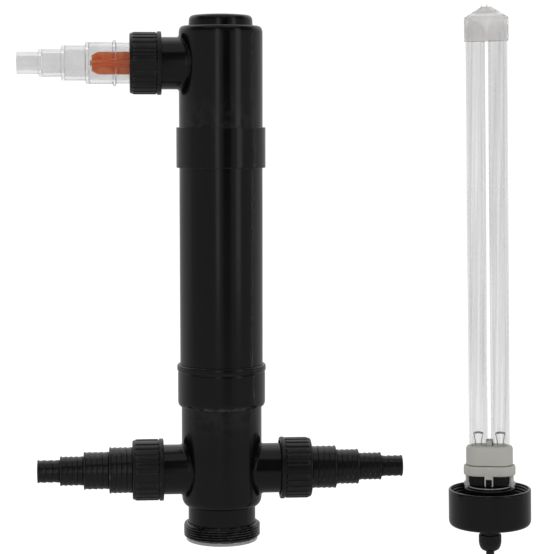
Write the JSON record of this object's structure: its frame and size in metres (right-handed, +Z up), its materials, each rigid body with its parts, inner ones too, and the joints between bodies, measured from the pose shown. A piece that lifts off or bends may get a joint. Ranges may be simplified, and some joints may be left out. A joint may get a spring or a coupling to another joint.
{
  "type": "uv clarifier",
  "caption": "Inline ultraviolet water clarifier: a pipe reactor with hose unions and flow indicator, and its lamp unit with screw cap and cable, drawn out beside it.",
  "frame": {"origin": "on the reactor pipe's axis, at the height of the clip that holds it, 250 mm above the foot of the neck", "axes": "+Z up along the pipe, +X towards the lamp unit and the single right hose end, -Y is the front"},
  "size_m": [0.4676, 0.0958, 0.7492],
  "materials": {
    "black_pvc": "moulded black PVC, smooth gloss",
    "ribbed_plastic": "moulded black plastic, satin",
    "rubber": "soft black rubber, matt",
    "cable_skin": "black rubber sheath, satin",
    "lamp_quartz": "polished clear quartz",
    "clear_plastic": "clear moulded plastic, gloss",
    "orange_plastic": "translucent orange plastic, gloss",
    "white_plastic": "warm white moulded plastic, satin",
    "grey_ring": "grey plastic, high gloss",
    "steel": "nickel plated metal"
  },
  "bodies": {
    "housing": {"reactor_pipe": "black_pvc", "lower_coupling": "black_pvc", "upper_coupling": "black_pvc", "lower_cross": "black_pvc", "upper_tee": "black_pvc", "top_plug": "black_pvc", "neck_thread_collar": "ribbed_plastic", "sleeve_o_ring": "rubber", "left_union_seal": "rubber", "right_union_seal": "rubber", "upper_union_seal": "rubber"},
    "sleeve": {"quartz_sleeve": "lamp_quartz", "sleeve_retaining_ring": "grey_ring"},
    "left_tail": {"left_hosetail": "black_pvc"},
    "left_nut": {"left_union_nut": "ribbed_plastic"},
    "right_tail": {"right_hosetail": "black_pvc"},
    "right_nut": {"right_union_nut": "ribbed_plastic"},
    "upper_tail": {"clear_hosetail": "clear_plastic", "indicator_axle": "steel", "indicator_spider": "clear_plastic"},
    "upper_nut": {"upper_union_nut": "ribbed_plastic"},
    "indicator": {"flow_rotor": "orange_plastic"},
    "lamp_unit": {"lamp_seat": "black_pvc", "seat_o_ring": "rubber", "seat_disc": "grey_ring", "lamp_holder": "white_plastic", "socket_core": "rubber", "gland_body": "black_pvc", "gland_seal": "rubber", "cable": "cable_skin", "cable_hank": "cable_skin", "cable_tie": "rubber", "cable_tail": "cable_skin", "connector_boot": "rubber", "cable_connector": "black_pvc"},
    "cap": {"screw_cap": "black_pvc", "cap_seal": "rubber"},
    "gland_cap": {"gland_nut": "black_pvc"},
    "lamp": {"lamp_glass": "lamp_quartz", "lamp_base": "white_plastic", "lamp_tip_cap": "clear_plastic", "filament_left": "steel", "filament_right": "steel", "contact_pin_1": "steel", "contact_pin_2": "steel", "contact_pin_3": "steel", "contact_pin_4": "steel"}
  },
  "joints": [
    {"name": "left_tail_travel", "type": "slide", "parent": "housing", "child": "left_tail", "axis": [-1, 0, 0], "range_m": [0, 0.0116]},
    {"name": "left_nut_turn", "type": "hinge", "parent": "left_tail", "child": "left_nut", "pos_m": [-0.0675, 0, -0.1846], "axis": [-1, 0, 0], "range_deg": [0, 1800]},
    {"name": "right_tail_travel", "type": "slide", "parent": "housing", "child": "right_tail", "axis": [1, 0, 0], "range_m": [0, 0.0116]},
    {"name": "right_nut_turn", "type": "hinge", "parent": "right_tail", "child": "right_nut", "pos_m": [0.0675, 0, -0.1846], "axis": [1, 0, 0], "range_deg": [0, 1800]},
    {"name": "upper_tail_travel", "type": "slide", "parent": "housing", "child": "upper_tail", "axis": [-1, 0, 0], "range_m": [0, 0.0116]},
    {"name": "upper_nut_turn", "type": "hinge", "parent": "upper_tail", "child": "upper_nut", "pos_m": [-0.0675, 0, 0.1837], "axis": [-1, 0, 0], "range_deg": [0, 1800]},
    {"name": "indicator_spin", "type": "hinge", "parent": "upper_tail", "child": "indicator", "pos_m": [-0.096, 0, 0.1837], "axis": [-1, 0, 0], "continuous": true},
    {"name": "sleeve_draw", "type": "slide", "parent": "housing", "child": "sleeve", "axis": [0, 0, -1], "range_m": [0, 0.25]},
    {"name": "lamp_unit_stroke", "type": "slide", "parent": "housing", "child": "lamp_unit", "axis": [-0.0175, 0.0047, 0.9998], "range_m": [0, 0.2]},
    {"name": "cap_spin", "type": "hinge", "parent": "lamp_unit", "child": "cap", "pos_m": [0.24547, -0.01786, -0.22], "axis": [-0.0175, 0.0047, 0.9998], "continuous": true},
    {"name": "gland_nut_turn", "type": "hinge", "parent": "lamp_unit", "child": "gland_cap", "pos_m": [0.24607, -0.01802, -0.254], "axis": [-0.0175, 0.0047, 0.9998], "range_deg": [0, 720]},
    {"name": "lamp_pull", "type": "slide", "parent": "lamp_unit", "child": "lamp", "axis": [-0.0175, 0.0047, 0.9998], "range_m": [0, 0.03]}
  ],
  "couplings": [
    {"joint": "left_tail_travel", "follows": "left_nut_turn", "m_per_rad": 0.00036765},
    {"joint": "right_tail_travel", "follows": "right_nut_turn", "m_per_rad": 0.00036765},
    {"joint": "upper_tail_travel", "follows": "upper_nut_turn", "m_per_rad": 0.00036765}
  ]
}
